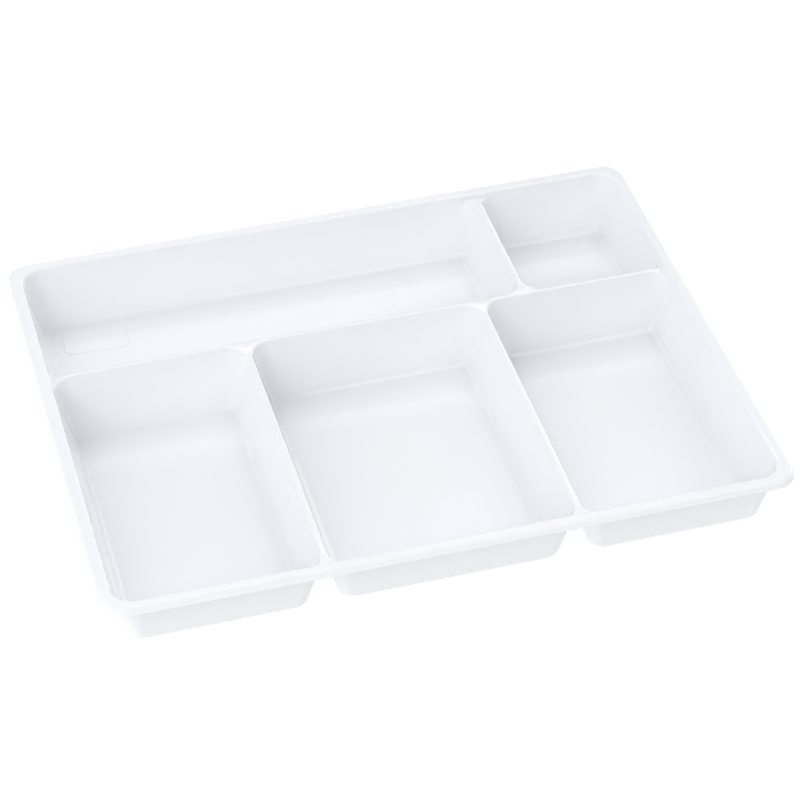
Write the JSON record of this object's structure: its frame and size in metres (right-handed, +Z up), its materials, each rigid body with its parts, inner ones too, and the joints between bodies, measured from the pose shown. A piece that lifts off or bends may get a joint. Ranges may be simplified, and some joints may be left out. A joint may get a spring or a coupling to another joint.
{
  "type": "drawer organizer tray",
  "caption": "Shallow rectangular drawer insert: a flat turned-down rim around open bins with sloping walls, rounded corners and narrow dividers.",
  "frame": {"origin": "centre of the tray's footprint, at the level of the undersides of the bins", "axes": "+X along the long front edge to the right, +Y towards the back row of bins, +Z up out of the bins"},
  "size_m": [0.35, 0.284, 0.036],
  "materials": {
    "white_plastic": "smooth gloss white moulded plastic"
  },
  "bodies": {
    "root": {"rim_flange": "white_plastic", "rim_skirt": "white_plastic", "pen_bin_shell": "white_plastic", "small_bin_shell": "white_plastic", "left_bin_shell": "white_plastic", "centre_bin_shell": "white_plastic", "right_bin_shell": "white_plastic", "cross_divider": "white_plastic", "rear_divider": "white_plastic", "left_divider": "white_plastic", "right_divider": "white_plastic", "label_pad": "white_plastic"}
  },
  "joints": []
}
